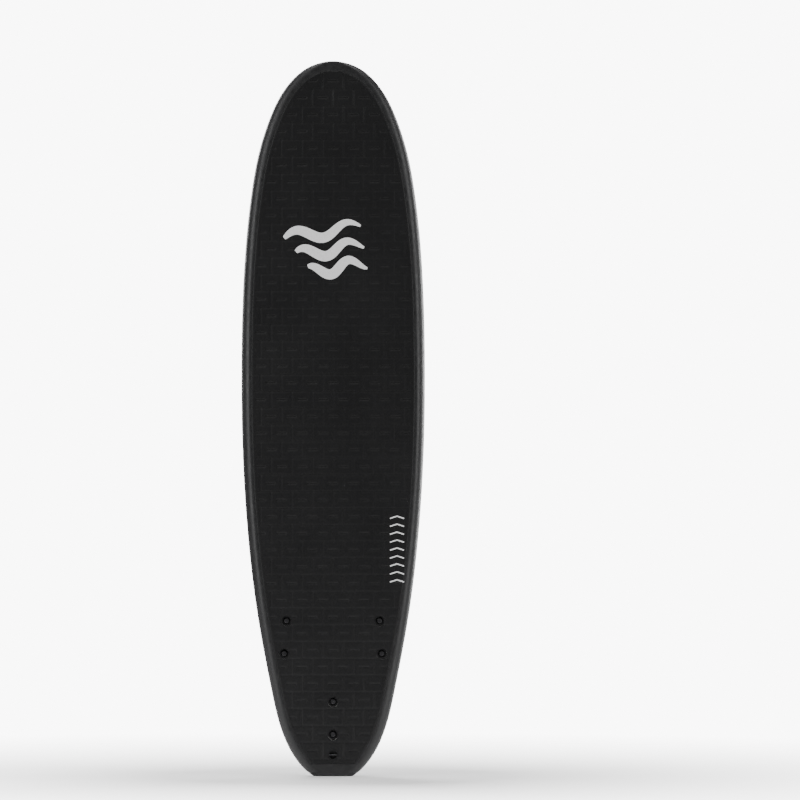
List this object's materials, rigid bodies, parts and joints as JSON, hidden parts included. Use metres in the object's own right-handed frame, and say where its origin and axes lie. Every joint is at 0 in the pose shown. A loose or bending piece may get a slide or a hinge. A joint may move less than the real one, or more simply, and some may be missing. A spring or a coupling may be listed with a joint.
{
  "type": "surfboard",
  "caption": "Upright soft-top surfboard with black foam deck, white slick bottom, removable bolt-through fins and a leash plug.",
  "frame": {"origin": "centre of the flat tail end, in the middle of its thickness", "axes": "+Z from the tail to the nose, +Y out of the bottom on the fin side, the deck faces -Y, +X to the surfer's right"},
  "size_m": [0.55, 0.2468, 2.1334],
  "materials": {
    "deck_foam": "matte",
    "rail_foam": "satin",
    "slick_sheet": "gloss",
    "backing_foam": "matte",
    "tail_rubber": "matte",
    "core_foam": "matte",
    "stringer_wood": "satin",
    "fin_plastic": "satin",
    "plug_plastic": "satin",
    "sleeve_plastic": "satin",
    "insert_brass": "satin",
    "screw_steel": "satin"
  },
  "bodies": {
    "board": {"deck_skin": "deck_foam", "rail_skin": "rail_foam", "slick_bottom": "slick_sheet", "bottom_backing": "backing_foam", "tail_bumper": "tail_rubber", "left_core": "core_foam", "center_core": "core_foam", "right_core": "core_foam", "left_stringer": "stringer_wood", "right_stringer": "stringer_wood", "leash_cup": "plug_plastic", "leash_pin": "screw_steel", "leash_bottom_disc": "plug_plastic", "left_screw_sleeves": "sleeve_plastic", "left_screw_cups": "plug_plastic", "center_screw_sleeves": "sleeve_plastic", "center_screw_cups": "plug_plastic", "right_screw_sleeves": "sleeve_plastic", "right_screw_cups": "plug_plastic"},
    "left_fin": {"left_fin": "fin_plastic", "left_fin_inserts": "insert_brass"},
    "left_front_screw": {"left_front_screw": "screw_steel"},
    "left_rear_screw": {"left_rear_screw": "screw_steel"},
    "center_fin": {"center_fin": "fin_plastic", "center_fin_inserts": "insert_brass"},
    "center_front_screw": {"center_front_screw": "screw_steel"},
    "center_rear_screw": {"center_rear_screw": "screw_steel"},
    "right_fin": {"right_fin": "fin_plastic", "right_fin_inserts": "insert_brass"},
    "right_front_screw": {"right_front_screw": "screw_steel"},
    "right_rear_screw": {"right_rear_screw": "screw_steel"}
  },
  "joints": [
    {"name": "left_fin_release", "type": "slide", "parent": "board", "child": "left_fin", "axis": [-0.061, 0.9969, -0.0496], "range_m": [0, 0.012]},
    {"name": "left_front_screw_turn", "type": "hinge", "parent": "board", "child": "left_front_screw", "pos_m": [-0.13904, -0.00276, 0.46383], "axis": [-0.061, 0.9969, -0.0496], "range_deg": [-3402.6, 0]},
    {"name": "left_rear_screw_turn", "type": "hinge", "parent": "board", "child": "left_rear_screw", "pos_m": [-0.14588, -0.00281, 0.36593], "axis": [-0.061, 0.9969, -0.0496], "range_deg": [-3402.6, 0]},
    {"name": "center_fin_release", "type": "slide", "parent": "board", "child": "center_fin", "axis": [0, 0.9961, -0.088], "range_m": [0, 0.012]},
    {"name": "center_front_screw_turn", "type": "hinge", "parent": "board", "child": "center_front_screw", "pos_m": [0, -0.00874, 0.22242], "axis": [0, 0.9961, -0.088], "range_deg": [-3402.6, 0]},
    {"name": "center_rear_screw_turn", "type": "hinge", "parent": "board", "child": "center_rear_screw", "pos_m": [0, -0.01109, 0.12424], "axis": [0, 0.9961, -0.088], "range_deg": [-3402.6, 0]},
    {"name": "right_fin_release", "type": "slide", "parent": "board", "child": "right_fin", "axis": [0.061, 0.9969, -0.0496], "range_m": [0, 0.012]},
    {"name": "right_front_screw_turn", "type": "hinge", "parent": "board", "child": "right_front_screw", "pos_m": [0.13904, -0.00276, 0.46383], "axis": [0.061, 0.9969, -0.0496], "range_deg": [-3402.6, 0]},
    {"name": "right_rear_screw_turn", "type": "hinge", "parent": "board", "child": "right_rear_screw", "pos_m": [0.14588, -0.00281, 0.36593], "axis": [0.061, 0.9969, -0.0496], "range_deg": [-3402.6, 0]}
  ],
  "couplings": [
    {"joint": "left_front_screw_turn", "follows": "left_fin_release", "rad_per_m": -4947.4},
    {"joint": "left_rear_screw_turn", "follows": "left_fin_release", "rad_per_m": -4947.4},
    {"joint": "center_front_screw_turn", "follows": "center_fin_release", "rad_per_m": -4947.4},
    {"joint": "center_rear_screw_turn", "follows": "center_fin_release", "rad_per_m": -4947.4},
    {"joint": "right_front_screw_turn", "follows": "right_fin_release", "rad_per_m": -4947.4},
    {"joint": "right_rear_screw_turn", "follows": "right_fin_release", "rad_per_m": -4947.4}
  ]
}
